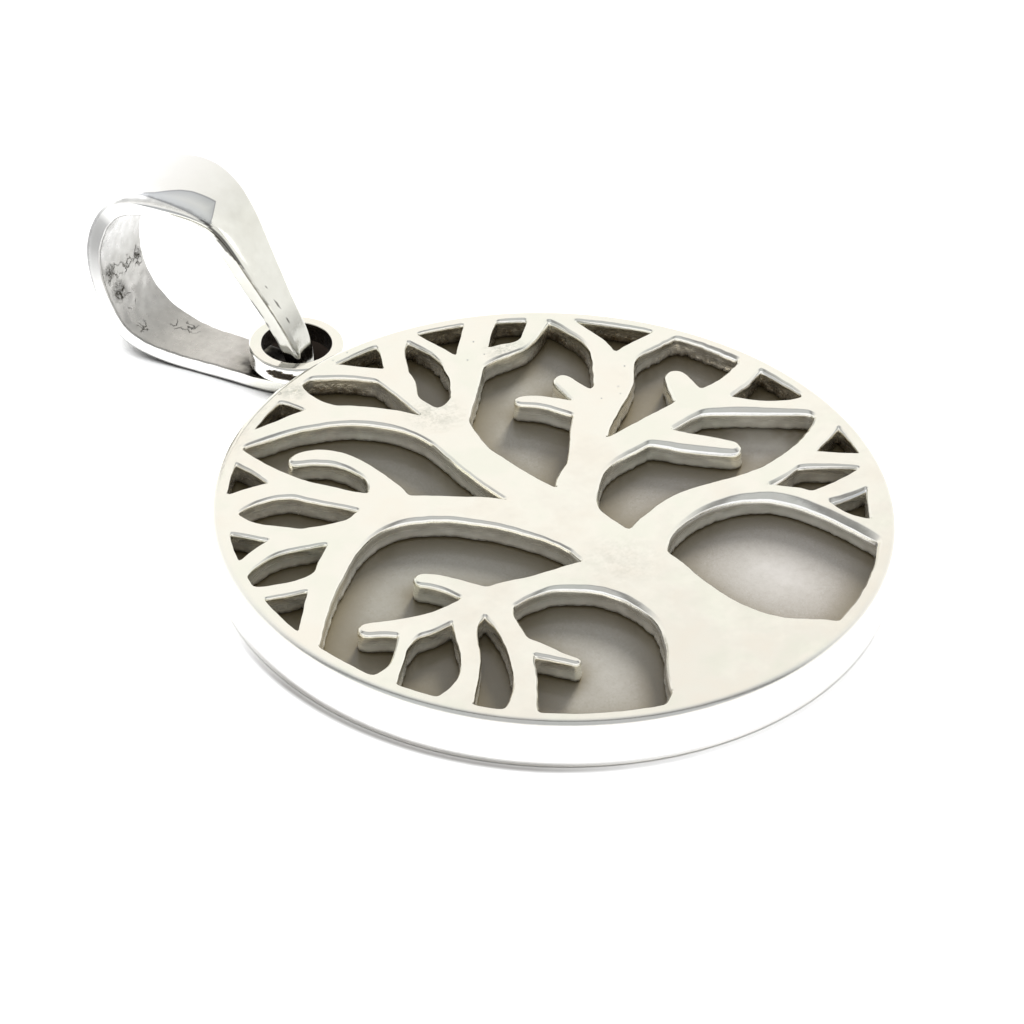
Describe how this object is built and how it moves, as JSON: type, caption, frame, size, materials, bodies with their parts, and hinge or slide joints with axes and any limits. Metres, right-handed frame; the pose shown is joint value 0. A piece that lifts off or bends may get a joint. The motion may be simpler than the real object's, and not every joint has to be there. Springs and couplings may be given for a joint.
{
  "type": "tree of life pendant",
  "caption": "Round silver pendant with a pierced tree of life plate over a pale shell disc, an eye ring and a tapered bail for a chain.",
  "frame": {"origin": "centre of the round frame's flat back", "axes": "+Y up the tree toward the bail, +Z out of the decorated face, +X to the right as the tree is seen"},
  "size_m": [0.03, 0.0417, 0.0094],
  "materials": {
    "silver": "polished sterling silver",
    "shell": "polished mother-of-pearl",
    "bail_silver": "polished sterling silver with a little tarnish inside"
  },
  "bodies": {
    "root": {"tree_frame": "silver", "shell_disc": "shell", "bail": "bail_silver"}
  },
  "joints": []
}
